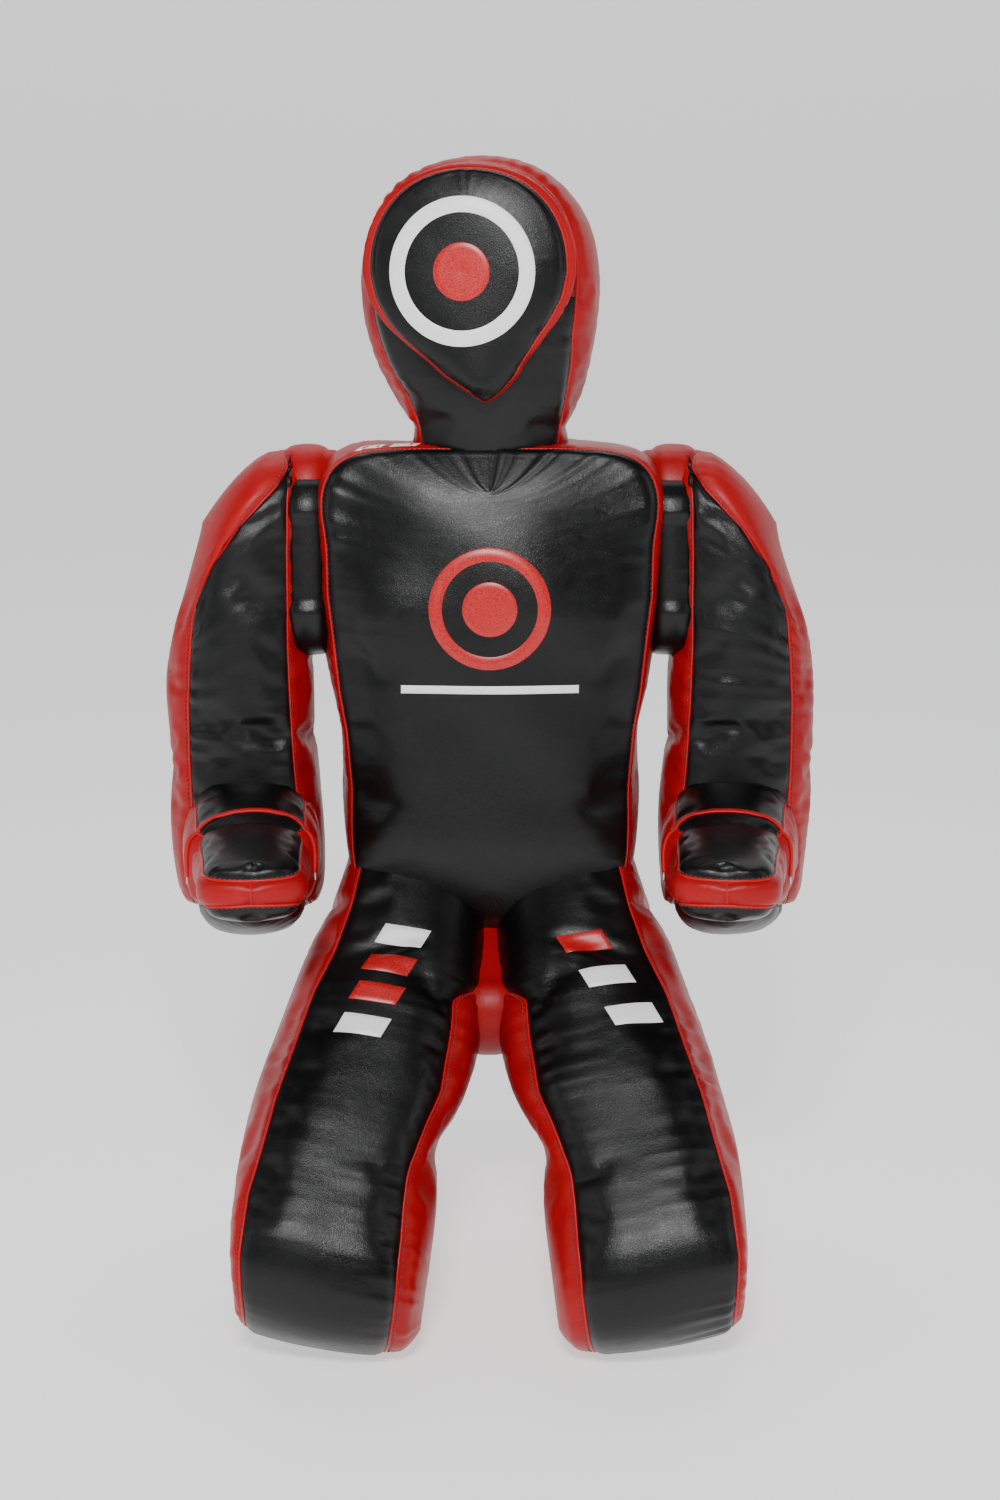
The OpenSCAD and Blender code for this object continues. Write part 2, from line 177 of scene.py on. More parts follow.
def section(seam_rho, seam_zeta, plate=(2.6, 0.7), crown=2.4, seam_low=None):
    """The cut through a form: both plates and the band, with rho out from the middle and zeta through it."""
    def make(step, size=(0.08, 0.08)):
        rs, zs = seam_rho, seam_zeta
        zl = zs if seam_low is None else seam_low
        kp = max(5, int(round(size[0] * rs / step)))
        kb = max(4, int(round(size[1] * (zs + zl) / step)))
        r = np.linspace(0, rs, kp + 1)
        def dome(z):
            return z + (1 - z) * (1 - (r / rs) ** plate[0]) ** plate[1]
        low_r, low_z = r[:-1], -dome(zl)[:-1]
        bz = np.linspace(-zl, zs, kb + 1)
        br = 1 - (1 - rs) * np.abs(np.where(bz < 0, bz / zl, bz / zs)) ** crown
        hi_r, hi_z = r[::-1][1:], dome(zs)[::-1][1:]
        rho = np.r_[low_r, br, hi_r]
        zeta = np.r_[low_z, bz, hi_z]
        part = np.r_[np.zeros(kp, int), np.ones(kb, int), np.full(kp, 2)]
        return rho, zeta, (kp, kp + kb), part
    return make


def sized(path, plate_size, band_size):
    return lambda step: path(step, (plate_size, band_size))


# ---------------------------------------------------------------- simulation
def inflate(form, pressure=4.0, cap=0.012, hold=None, frames=18, shrink=0.03, tension=18):
    """Blows the cover up with Blender's cloth, its seams held short, and keeps the creases that makes.
    hold(points) says how much of the move is kept at each point."""
    g = form.grid
    shape = g.shape[:2]
    verts = g.reshape(-1, 3)[form.first]
    quads = form.quads(shape, form.inverse)
    keep = [tuple(dict.fromkeys(q)) for q in quads.tolist()]
    keep = [q for q in keep if len(q) > 2]
    me = bpy.data.meshes.new(form.name + "_sim")
    me.from_pydata(verts.tolist(), [], keep)
    me.update()
    ob = bpy.data.objects.new(form.name + "_sim", me)
    bpy.context.scene.collection.objects.link(ob)
    seam = ob.vertex_groups.new(name="seam")
    index = np.unique(np.concatenate([form.inverse.reshape(shape)[:, j] for j in form.seams]))
    seam.add([int(i) for i in index], 1.0, "REPLACE")
    m = ob.modifiers.new("cloth", "CLOTH")
    c = m.settings
    c.quality = 4
    c.mass = 0.35
    c.tension_stiffness = tension
    c.compression_stiffness = tension * 0.6
    c.shear_stiffness = 6
    c.bending_stiffness = 1.2
    c.tension_damping = c.compression_damping = c.shear_damping = 8
    c.air_damping = 2
    c.use_pressure = True
    c.uniform_pressure_force = pressure
    c.vertex_group_shrink = "seam"
    c.shrink_min = 0.0
    c.shrink_max = shrink
    c.effector_weights.gravity = 0
    m.collision_settings.use_collision = False
    m.collision_settings.use_self_collision = False
    m.point_cache.frame_start, m.point_cache.frame_end = 1, frames
    scene = bpy.context.scene
    for f in range(1, frames + 1):
        scene.frame_set(f)
    dg = bpy.context.evaluated_depsgraph_get()
    ev = ob.evaluated_get(dg)
    out = np.empty(len(ev.data.vertices) * 3)
    ev.data.vertices.foreach_get("co", out)
    out = out.reshape(-1, 3)
    bpy.data.objects.remove(ob)
    scene.frame_set(1)
    move = out - verts
    size = np.linalg.norm(move, axis=1, keepdims=True)
    move *= np.where(size > 1e-9, cap * np.tanh(size / cap) / np.maximum(size, 1e-9), 0)
    if hold is not None:
        move *= hold(verts)[:, None]
    form.grid = (verts + move)[form.inverse].reshape(*shape, 3)


# ---------------------------------------------------------------- finer grid and finish
def finer(g, t_times, p_times):
    """Catmull-Rom refinement, closed in t and open in j."""
    def along(a, times, closed):
        n = a.shape[0]
        if closed:
            at = np.arange(n * times) / times
            i = np.floor(at).astype(int)
            idx = [(i + k) % n for k in (-1, 0, 1, 2)]
        else:
            at = np.arange((n - 1) * times + 1) / times
            i = np.minimum(np.floor(at).astype(int), n - 2)
            idx = [np.clip(i + k, 0, n - 1) for k in (-1, 0, 1, 2)]
        f = (at - i).reshape(-1, *([1] * (a.ndim - 1)))
        w = (-0.5 * f + f**2 - 0.5 * f**3, 1 - 2.5 * f**2 + 1.5 * f**3,
             0.5 * f + 2 * f**2 - 1.5 * f**3, -0.5 * f**2 + 0.5 * f**3)
        return sum(wk * a[ik] for wk, ik in zip(w, idx))
    g = along(g, t_times, True)
    return np.swapaxes(along(np.swapaxes(g, 0, 1), p_times, False), 0, 1)


def normals(g):
    dt = np.roll(g, -1, 0) - np.roll(g, 1, 0)
    dj = np.empty_like(g)
    dj[:, 1:-1] = g[:, 2:] - g[:, :-2]
    dj[:, 0], dj[:, -1] = g[:, 1] - g[:, 0], g[:, -1] - g[:, -2]
    n = unit(np.cross(dt, dj))
    centre = g.reshape(-1, 3).mean(0)
    if np.sum(n * (g - centre)) < 0:
        n = -n
    for j, k in ((0, 1), (-1, -2)):                     # the folded middle line takes both neighbours'
        _, pair = np.unique(np.round(g[:, j], 5), axis=0, return_inverse=True)
        pair = pair.reshape(-1)
        total = np.zeros((pair.max() + 1, 3))
        np.add.at(total, pair, n[:, k])
        n[:, j] = unit(total)[pair]
    return n


class Skin:
    """The finished cover of one form: a fine grid, its seams, and the pieces cut from it."""

    def __init__(self, form, times=2, pucker=0.0022, ease=0.0016, seed=0, floor=False, post=None,
                 edge=0.0022, reach=0.030, wave=0.026):
        g = finer(form.grid, times, times)
        n = normals(g)
        self.seams = [j * times for j in form.seams]
        steps = np.linalg.norm(np.diff(g, axis=1), axis=2)
        run = np.concatenate([np.zeros((g.shape[0], 1)), np.cumsum(steps, 1)], 1)
        gap = np.min([np.abs(run - run[:, [j]]) for j in self.seams], 0)
        around = []
        for j in self.seams:
            d = np.linalg.norm(np.roll(g[:, j], -1, 0) - g[:, j], axis=1)
            around.append(np.r_[0, np.cumsum(d)[:-1]])
        near = np.argmin([np.abs(run - run[:, [j]]) for j in self.seams], 0)
        s = np.where(near == 0, around[0][:, None], around[1][:, None])
        self.long = s
        side = np.arange(g.shape[1])[None, :] * np.ones((g.shape[0], 1))
        band = (side > self.seams[0]) & (side < self.seams[1])
        fade = np.exp(-gap / reach) * (1 - np.exp(-(gap / 0.006) ** 2))
        lift = pucker * fade * np.where(band, ruffle(s, wave, seed + 1), ruffle(s, wave * 1.3, seed + 2))
        lift *= 0.55 + 0.45 * waves(g, 0.16, seed + 3)
        lift += ease * waves(g, 0.13, seed + 4) * (1 - np.exp(-gap / 0.02))
        lift -= edge * np.exp(-(gap / 0.0045) ** 2)
        rest = g
        g = g + n * lift[..., None]
        for j in (0, -1):                               # the two sides of the middle line stay together
            _, pair = np.unique(np.round(rest[:, j], 5), axis=0, return_inverse=True)
            pair = pair.reshape(-1)
            total, count = np.zeros((pair.max() + 1, 3)), np.bincount(pair)
            np.add.at(total, pair, g[:, j])
            g[:, j] = (total / count[:, None])[pair]
        if floor:
            z = g[..., 2]
            low = 0.004
            g[..., 2] = np.where(z < low, low * np.exp(np.clip((z - low) / 0.012, -6, 0)) * 0.9 + 0.0004, z)
        if post is not None:
            g = post(g)
        self.g, self.n, self.gap, self.run = g, normals(g), gap, run
        self.name = form.name
        self.part = np.repeat(form.part, times)

    def mesh(self, name, parts, extra=None, columns=None):
        """One object from the chosen parts: 0 and 2 are the plates, 1 is the band."""
        t, p = self.g.shape[:2]
        sel = np.isin(self.part, parts) if columns is None else columns
        i = (np.arange(t)[:, None] * p + np.arange(p - 1)[None, :])
        k = (((np.arange(t) + 1) % t)[:, None] * p + np.arange(p - 1)[None, :])
        q = np.stack([i, k, k + 1, i + 1], -1)
        pick = np.broadcast_to(sel[None, :], (t, p - 1)) if sel.ndim == 1 else sel
        if extra is not None:
            pick = pick & extra(self.g)[:, :-1]
        q = q[pick]
        return self.build(name, q)

    def build(self, name, q):
        co = self.g.reshape(-1, 3)
        used, q = np.unique(q, return_inverse=True)
        q = q.reshape(-1, 4)
        co = co[used]
        key = np.round(co, 6)
        _, first, inverse = np.unique(key, axis=0, return_index=True, return_inverse=True)
        inverse = inverse.reshape(-1)
        q = inverse[q]
        # wind every face outward
        v = co[first]
        n0 = self.n.reshape(-1, 3)[used][first]
        fn = np.cross(v[q[:, 1]] - v[q[:, 0]], v[q[:, 2]] - v[q[:, 0]]) + np.cross(
            v[q[:, 2]] - v[q[:, 0]], v[q[:, 3]] - v[q[:, 0]])
        flip = np.sum(fn * n0[q].mean(1), 1) < 0
        q[flip] = q[flip][:, ::-1]
        faces = [tuple(dict.fromkeys(f)) for f in q.tolist()]
        faces = [f for f in faces if len(f) > 2]
        return add_mesh(name, v, faces)


def add_mesh(name, v, faces, flat=False):
    me = bpy.data.meshes.new(name)
    me.from_pydata(np.asarray(v).tolist(), [], faces)
    me.validate()
    me.update()
    if not flat:
        me.shade_smooth()
    ob = bpy.data.objects.new(name, me)
    bpy.context.scene.collection.objects.link(ob)
    return ob


def tube(path, normal, wide, tall, lift=0.0, closed=True, sides=8):
    """A flattened bead along a path: wide across it, tall out of the surface."""
    path = np.asarray(path)
    along = unit(np.roll(path, -1, 0) - np.roll(path, 1, 0)) if closed else unit(np.gradient(path, axis=0))
    out = unit(normal - along * np.sum(normal * along, 1, keepdims=True))
    across = np.cross(along, out)
    a = np.linspace(0, 2 * math.pi, sides, endpoint=False)
    v = (path[:, None, :] + across[:, None, :] * (wide * np.cos(a))[None, :, None]
         + out[:, None, :] * (lift + tall * np.sin(a))[None, :, None])
    n = len(path)
    faces = []
    for i in range(n if closed else n - 1):
        k = (i + 1) % n
        for j in range(sides):
            l = (j + 1) % sides
            faces.append((i * sides + j, i * sides + l, k * sides + l, k * sides + j))
    if not closed:
        faces.append(tuple(range(sides))[::-1])
        faces.append(tuple((n - 1) * sides + j for j in range(sides)))
    return v.reshape(-1, 3), faces


def stitches(path, normal, pitch=0.0048, length=0.0030, wide=0.0005, offset=0.0, closed=True):
    """Short threads laid end to end along a path, a little proud of the surface."""
    path = np.asarray(path)
    if closed:
        path, normal = np.vstack([path, path[:1]]), np.vstack([normal, normal[:1]])
    d = np.r_[0, np.cumsum(np.linalg.norm(np.diff(path, axis=0), axis=1))]
    n = int(d[-1] / pitch)
    s = (np.arange(n) + 0.5) * pitch
    at = np.stack([np.interp(s, d, path[:, k]) for k in range(3)], 1)
    nn = unit(np.stack([np.interp(s, d, normal[:, k]) for k in range(3)], 1))
    ahead = np.stack([np.interp(s + 1e-3, d, path[:, k]) for k in range(3)], 1)
    back = np.stack([np.interp(s - 1e-3, d, path[:, k]) for k in range(3)], 1)
    al = unit(ahead - back)
    ac = np.cross(al, nn)
    at = at + ac * offset
    v, f = [], []
    for u, w, h in ((-0.5, 0.6, -0.0004), (-0.28, 1, 0.0005), (0.28, 1, 0.0005), (0.5, 0.6, -0.0004)):
        for x, y in ((-1, 0), (0, 1), (1, 0)):
            v.append(at + al * u * length + ac * x * w * wide + nn * (h + y * wide))
    v = np.stack(v, 1)
    base = np.arange(n) * 12
    for k in range(3):
        for a, b in ((0, 1), (1, 2), (2, 0)):
            q = np.stack([base + 3 * k + a, base + 3 * k + b, base + 3 * k + 3 + b, base + 3 * k + 3 + a], 1)
            f += [tuple(x) for x in q.tolist()]
    return v.reshape(-1, 3), f


# ---------------------------------------------------------------- materials
def vinyl(name, colour, rough, grain, mottle=0.35, shine=0.40):
    """Satin vinyl: a fine leather grain, soft mottling, and faint scuffs."""
    m = bpy.data.materials.new(name)
    m.use_nodes = True
    nt = m.node_tree
    n, l = nt.nodes, nt.links
    b = n["Principled BSDF"]
    b.inputs["Coat Weight"].default_value = 0.05
    b.inputs["Coat Roughness"].default_value = 0.30
    b.inputs["Specular IOR Level"].default_value = shine
    tc = n.new("ShaderNodeTexCoord")

    def noise(scale, detail, rough=0.5):
        t = n.new("ShaderNodeTexNoise")
        t.inputs["Scale"].default_value = scale
        t.inputs["Detail"].default_value = detail
        t.inputs["Roughness"].default_value = rough
        l.new(tc.outputs["Object"], t.inputs["Vector"])
        return t.outputs["Fac"]

    def ramp(x, lo, hi, a, c):
        r = n.new("ShaderNodeMapRange")
        for k, v in zip(("From Min", "From Max", "To Min", "To Max"), (lo, hi, a, c)):
            r.inputs[k].default_value = v
        l.new(x, r.inputs["Value"])
        return r.outputs["Result"]

    broad, fine = noise(5.5, 4), noise(60, 5, 0.6)
    mix = n.new("ShaderNodeMix")
    mix.data_type = "RGBA"
    mix.inputs[6].default_value = (*[c * (1 - mottle) for c in colour], 1)
    mix.inputs[7].default_value = (*[c * (1 + mottle) + 0.0008 for c in colour], 1)
    l.new(ramp(broad, 0.3, 0.7, 0, 1), mix.inputs[0])
    scuff = n.new("ShaderNodeMix")
    scuff.data_type = "RGBA"
    scuff.inputs[7].default_value = (*[min(1, c * 1.7 + 0.008) for c in colour], 1)
    l.new(mix.outputs[2], scuff.inputs[6])
    l.new(ramp(noise(17, 8, 0.72), 0.60, 0.74, 0, 0.45), scuff.inputs[0])
    l.new(scuff.outputs[2], b.inputs["Base Color"])
    add = n.new("ShaderNodeMath")
    l.new(ramp(broad, 0.3, 0.7, rough - 0.05, rough + 0.05), add.inputs[0])
    l.new(ramp(fine, 0.3, 0.7, -0.04, 0.04), add.inputs[1])
    l.new(add.outputs[0], b.inputs["Roughness"])
    cells = n.new("ShaderNodeTexVoronoi")
    cells.feature = "DISTANCE_TO_EDGE"
    cells.inputs["Scale"].default_value = 620
    l.new(tc.outputs["Object"], cells.inputs["Vector"])
    high = n.new("ShaderNodeMath")
    high.operation = "MULTIPLY_ADD"
    l.new(ramp(cells.outputs["Distance"], 0, 0.25, 0, 1), high.inputs[0])
    high.inputs[1].default_value = 0.55
    l.new(noise(330, 3), high.inputs[2])
    bump = n.new("ShaderNodeBump")
    bump.inputs["Strength"].default_value = grain
    bump.inputs["Distance"].default_value = 0.00022
    l.new(high.outputs[0], bump.inputs["Height"])
    creep = n.new("ShaderNodeBump")
    creep.inputs["Strength"].default_value = 0.35
    creep.inputs["Distance"].default_value = 0.0012
    l.new(noise(38, 3), creep.inputs["Height"])
    l.new(bump.outputs[0], creep.inputs["Normal"])
    l.new(creep.outputs[0], b.inputs["Normal"])
    return m


def plain(name, colour, rough, scale, metal=0.0, bump_mm=0.1, change=0.12, stretch=(1, 1, 1), sheen=0.0):
    """A procedural finish from one stretched noise: thread, tape, moulding, film or brushed metal."""
    m = bpy.data.materials.new(name)
    m.use_nodes = True
    n, l = m.node_tree.nodes, m.node_tree.links
    b = n["Principled BSDF"]
    b.inputs["Metallic"].default_value = metal
    b.inputs["Sheen Weight"].default_value = sheen
    tc, mp, t = n.new("ShaderNodeTexCoord"), n.new("ShaderNodeMapping"), n.new("ShaderNodeTexNoise")
    mp.inputs["Scale"].default_value = stretch
    t.inputs["Scale"].default_value = scale
    t.inputs["Detail"].default_value = 5
    l.new(tc.outputs["Object"], mp.inputs["Vector"])
    l.new(mp.outputs[0], t.inputs["Vector"])
    r = n.new("ShaderNodeValToRGB")
    r.color_ramp.elements[0].position, r.color_ramp.elements[1].position = 0.32, 0.68
    # The colour swings with the noise by change: grain or weave on most finishes, a painted highlight speckle on the
    # red print film.
    r.color_ramp.elements[0].color = (*[c * (1 - change) for c in colour], 1)
    r.color_ramp.elements[1].color = (*[min(1, c * (1 + change)) for c in colour], 1)
    l.new(t.outputs["Fac"], r.inputs[0])
    l.new(r.outputs[0], b.inputs["Base Color"])
    k = n.new("ShaderNodeMapRange")
    k.inputs["To Min"].default_value, k.inputs["To Max"].default_value = rough - 0.07, rough + 0.07
    l.new(t.outputs["Fac"], k.inputs["Value"])
    l.new(k.outputs[0], b.inputs["Roughness"])
    u = n.new("ShaderNodeBump")
    u.inputs["Strength"].default_value = 0.5
    u.inputs["Distance"].default_value = bump_mm / 1000
    l.new(t.outputs["Fac"], u.inputs["Height"])
    l.new(u.outputs[0], b.inputs["Normal"])
    return m


BLACK = vinyl("cover_black", (0.0018, 0.0019, 0.0022), 0.34, 0.5, shine=0.30)
RED = vinyl("cover_red", (0.34, 0.0008, 0.0036), 0.42, 0.5, mottle=0.16, shine=0.22)
EDGE = vinyl("cover_edge", (0.46, 0.0020, 0.0060), 0.38, 0.4, mottle=0.12, shine=0.25)
THREAD = plain("dark_thread", (0.022, 0.018, 0.018), 0.62, 900, bump_mm=0.12, sheen=0.3)
RED_THREAD = plain("red_thread", (0.34, 0.012, 0.015), 0.6, 900, bump_mm=0.12, sheen=0.3)
WHITE_FILM = plain("white_film", (0.86, 0.86, 0.86), 0.42, 700, bump_mm=0.05, change=0.05)
# The red print film's strong colour speckle (change .42) is a painted highlight speckle; its roughness and bump
# speckle are the print's own texture.
RED_FILM_PAINTED_SPECKLE = plain("red_film", (0.46, 0.008, 0.010), 0.36, 800, bump_mm=0.06, change=0.42)
TAPE = plain("tape_weave", (0.014, 0.014, 0.015), 0.85, 800, bump_mm=0.25, change=0.35, stretch=(1, 1, 3), sheen=0.4)
TEETH = plain("teeth_moulding", (0.03, 0.03, 0.032), 0.4, 300, bump_mm=0.05)
METAL = plain("plated_metal", (0.60, 0.60, 0.61), 0.30, 260, metal=1.0, bump_mm=0.03, stretch=(1, 1, 0.15))


def finish(ob, material, to, replaces=()):
    """Gives a piece its material, parents it to the CAD body it follows when one body is named (a pair of bodies with
    a bend span only has its transform baked in place), and hides the nodes it stands for.
    """
    ob.data.materials.append(material)
    if isinstance(to, str):
        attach(ob, to)
    else:
        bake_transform(ob)
    if replaces:
        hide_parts(*replaces)
    return ob


# ---------------------------------------------------------------- shapes of the parts
def mirrored(form):
    other = object.__new__(Form)
    other.__dict__.update(form.__dict__)
    other.grid = form.grid * np.array([-1.0, 1.0, 1.0])
    return other


def stack(x, y, z):
    return np.stack(np.broadcast_arrays(x, y, z), -1)


def front_view(y):
    return lambda u, v, c: stack(u, Y0 + y - c, v)


def side_view(x):
    return lambda u, v, c: stack(x + c, Y0 + u, v)


HIP = np.array([0.084, -0.010, 0.37698])
ROLL = math.radians(11.8)
KNEE = (-0.27765, 0.07972)
KNEE_X = 0.14479


def rolled(x, y, z):
    dx, dz = x - HIP[0], z - HIP[2]
    return stack(HIP[0] + dx * math.cos(ROLL) - dz * math.sin(ROLL), Y0 + y,
                 HIP[2] + dx * math.sin(ROLL) + dz * math.cos(ROLL))


ARM_X = 0.252
TURN = math.radians(7)


def turned(x, y, z):
    """From the forearm's own frame, x from its middle, to the row frame."""
    c, s = math.cos(TURN), math.sin(TURN)
    return stack(ARM_X + x * c + y * s, Y0 - x * s + y * c, z)


body_hi = table([(.31, .046), (.33, .056), (.36, .070), (.40, .088), (.44, .097),
                 (.50, .095), (.60, .096), (.70, .099), (.78, .096), (.85, .084)])
body_lo = table([(.31, .080), (.35, .086), (.40, .093), (.47, .095), (.80, .095), (.85, .084)])
body_w = table([(0, .158), (.3, .163), (.5, .170), (1, .180)])
torso = Form("torso", (0, .50), (0, .70), lambda t: (body_w(t), body_w(t)), (.188, .147), (3.0, 6.0), front_view(0),
             lambda u, v: (body_lo(v), body_hi(v)), sized(section(.945, .74, (3.0, .75)), .17, .095))

skull = table([(0, .080), (.18, .090), (.46, .107), (.75, .116), (1, .118)])
head_lo = table([(.77, .070), (.87, .080), (.95, .098), (1.03, .108), (1.12, .100)])
head_hi = table([(.77, .050), (.835, .062), (.88, .079), (.96, .090), (1.06, .088), (1.12, .078)])


def look(u, y, v):
    """The head's slight turn and lean to its own right, growing up the neck."""
    k = smooth(v, .86, .97)
    a = -math.radians(6) * k
    return stack(u * np.cos(a) - y * np.sin(a) - .010 * k, Y0 + u * np.sin(a) + y * np.cos(a), v)


head = Form("head", (0, .860), (0, 1.004), lambda t: (skull(t), skull(t)), (.10, .121), (3.0, 2.25),
            lambda u, v, c: look(u, -c, v), lambda u, v: (head_lo(v), head_hi(v)),
            sized(section(.90, .62, (2.8, .7)), .11, .09))
jaw = table([(0, .046), (.22, .065), (.48, .085), (.74, .098), (1, .103)])
face = Form("face", (0, .920), (0, 1.010), lambda t: (jaw(t), jaw(t)), (.034, .101), (1.22, 2.2),
            lambda u, v, c: look(u, -.093 - c, v), lambda u, v: (.020, .024),
            sized(section(.955, .30, (2.6, .6), seam_low=.75), .10, .022), step=.008)


def shoulder_fall(u, v, c):
    x = ARM_X + c
    fall = .075 * np.clip((x - .186) / .115, 0, 1.3) ** 2.4 * smooth(v, .55, .84)
    return stack(x, Y0 + u, v - fall)


arm_in = table([(.34, .073), (.45, .073), (.55, .065), (.64, .063), (.85, .063)])
arm_out = table([(.34, .079), (.60, .079), (.72, .073), (.78, .062), (.85, .050)])
upper = Form("upper_arm", (0, .425), (0, .772), lambda t: (.072, .072), (.072, .073), (2.2, 2.2), shoulder_fall,
             lambda u, v: (arm_in(v), arm_out(v)), sized(section(.87, .72, (2.2, .7), 2.5, seam_low=.86), .072, .074),
             shift=lambda u, v: (0 * v, .96 * smooth(v, .73, .835)))
fore_mid = table([(-.30, .444), (-.15, .443), (0, .428)])
fore_hi = table([(-.19, .034), (-.16, .042), (-.135, .050), (-.10, .065), (-.06, .077), (-.02, .076), (.05, .066)])
fore_lo = table([(-.19, .046), (-.16, .062), (-.12, .079), (-.07, .086), (-.02, .080), (.05, .070)])
fore = Form("forearm", (0, -.012), (0, -.125), lambda t: (.069 - .005 * t, .069 - .005 * t), (.050, .047), (2.6, 2.5),
            lambda u, v, c: turned(u, v, fore_mid(v) + c), lambda u, v: (fore_lo(v), fore_hi(v)),
            sized(section(.90, .70, (2.6, .65), seam_low=.60), .062, .066))
hand_mid = table([(-.30, .451), (-.15, .443)])
hand_t = table([(-.30, .024), (-.27, .029), (-.22, .038), (-.17, .041)])
hand = Form("hand", (0, -.170), (0, -.252), lambda t: (.058 - .005 * t, .058 - .005 * t), (.036, .043), (3, 2.9),
            lambda u, v, c: turned(u, v, hand_mid(v) + c), lambda u, v: (hand_t(v), hand_t(v)),
            sized(section(.92, .55, (2.6, .65)), .056, .040), step=.008)
leg_out = table([(.0, .080), (.043, .087), (.097, .101), (.1455, .108), (.221, .103),
                 (.305, .088), (.34, .075), (.38, .068), (.47, .064)])
leg_in = table([(.0, .088), (.035, .090), (.129, .083), (.178, .077), (.205, .086),
                (.247, .104), (.29, .101), (.33, .094), (.38, .078), (.47, .060)])
thigh = Form("thigh", KNEE, (-.010, .37698), lambda t: (.086 - .004 * t, .086 - .004 * t), (.086, .082), (2.15, 2.1),
             lambda u, v, c: rolled(HIP[0] + c, u, v), lambda u, v: (leg_in(v), leg_out(v)),
             sized(section(.88, .93, (2.4, .7), 2.5, seam_low=.68), .085, .084),
             shift=lambda u, v: (-.42 * smooth(v, .325, .375), 0 * v))
shin = Form("shin", (-.20, .077), (.108, .060), lambda t: (.077 - .017 * t, .077 - .017 * t), (.060, .058), (2.3, 2.3),
            side_view(KNEE_X), lambda u, v: (.077 - .011 * smooth(u, -.2, .12), .077 - .011 * smooth(u, -.2, .12)),
            sized(section(.86, .78, (2.4, .7), 2.5), .075, .074))
foot = Form("foot", (.100, .054), (.238, .036), lambda t: (.050 - .014 * t, .050 - .014 * t), (.046, .036), (2.2, 2.4),
            side_view(KNEE_X), lambda u, v: (.051, .051), sized(section(.86, .78, (2.4, .7), 2.5), .045, .050),
            step=.009)
crotch = Form("crotch", (-.092, .276), (-.020, .322), lambda t: (.048, .046), (.046, .045), (2.2, 2.2), side_view(0),
              lambda u, v: (.060, .060), sized(section(.80, .5, (2.2, .7)), .055, .034), step=.009)
web = Form("web", (.004, .690), (.004, .768), lambda t: (.066, .062), (.062, .052), (2.5, 2.5), side_view(.184),
           lambda u, v: (.040, .040), sized(section(.85, .6, (2.2, .7)), .05, .02), step=.009)
bridge = Form("bridge", (.002, .780), (.002, .794), lambda t: (.046, .046), (.045, .049), (2.2, 2.2), side_view(.186),
              lambda u, v: (.038, .038), sized(section(.85, .6, (2.2, .7)), .05, .02), step=.009)

PLAN = [(torso, 4.0, .008), (head, 4.0, .006), (face, 3.0, .003), (upper, 4.0, .006), (fore, 4.0, .005),
        (hand, 3.5, .004), (thigh, 4.0, .007), (shin, 4.0, .005), (foot, 3.5, .004)]
for form, pressure, cap in PLAN:
    inflate(form, pressure, cap, (lambda p: 1 - smooth(p[:, 2], .745, .80)) if form is torso else None)
torso.even(160, lambda p: smooth(p[:, 2], .68, .76))
face.even(10)


# ---------------------------------------------------------------- flat seats and the zip's opening
ZIP_Z = (.466, .806)


def zip_opening(g):
    """Parts the back cover on its middle line, level with the zip's tapes."""
    x, y, z = g[..., 0], g[..., 1], g[..., 2]
    back = ((y > Y0 + .05) * smooth(z, ZIP_Z[0] - .004, ZIP_Z[0] + .002)
            * (1 - smooth(z, ZIP_Z[1] - .002, ZIP_Z[1] + .004)))
    rows = np.sign(g[:, g.shape[1] // 2, 0])[:, None] * np.ones_like(x)
    near = np.clip(1 - np.abs(x) / .045, 0, 1) * back
    out = g.copy()
    out[..., 0] = np.where(near > 0, rows * (np.abs(x) + .0080 * near), x)
    level = Y0 + .0948 - .0012 * np.exp(-np.abs(x) / .0035)
    flat = ((y > Y0 + .05) * smooth(z, .43, ZIP_Z[0]) * (1 - smooth(z, ZIP_Z[1], .83))
            * (1 - smooth(np.abs(x), .010, .060)))
    out[..., 1] = y * (1 - flat) + level * flat
    return out


# ---------------------------------------------------------------- building each cover
def limb_span(side, a, b):
    """Start and end of a bend, given on the left side."""
    flip = np.array([side, 1.0, 1.0])
    return tuple(np.array(a).reshape(3) * flip), tuple(np.array(b).reshape(3) * flip)


def edges(skin, to, material=EDGE, thread=THREAD, seams=(0, 1), wide=.0014, tall=.0011, label="seam", keep=None):
    """A raised sewn edge on each seam, and a row of stitches beside it."""
    paths, threads = [], []
    for k in seams:
        j = skin.seams[k]
        p, n = skin.g[:, j], skin.n[:, j]
        v, f = tube(p, n, wide, tall, lift=.0004)
        paths.append((v, f))
        outward = 2 if k == 0 else -2
        q, m = skin.g[:, j - outward // 2], skin.n[:, j - outward // 2]
        threads.append(stitches(0.45 * q + 0.55 * p, m))
    for name, sets, mat in ((f"{label}_edges", paths, material), (f"{label}_stitches", threads, thread)):
        v = np.concatenate([s[0] for s in sets])
        f, at = [], 0
        for s in sets:
            f += [tuple(i + at for i in face) for face in s[1]]
            at += len(s[0])
        if keep is not None:
            good = keep(v)
            used = [face for face in f if all(good[i] for i in face)]
            index = np.unique([i for face in used for i in face])
            new = {int(o): i for i, o in enumerate(index)}
            f, v = [tuple(new[i] for i in face) for face in used], v[index]
        finish(add_mesh(name, v, f), mat, to)


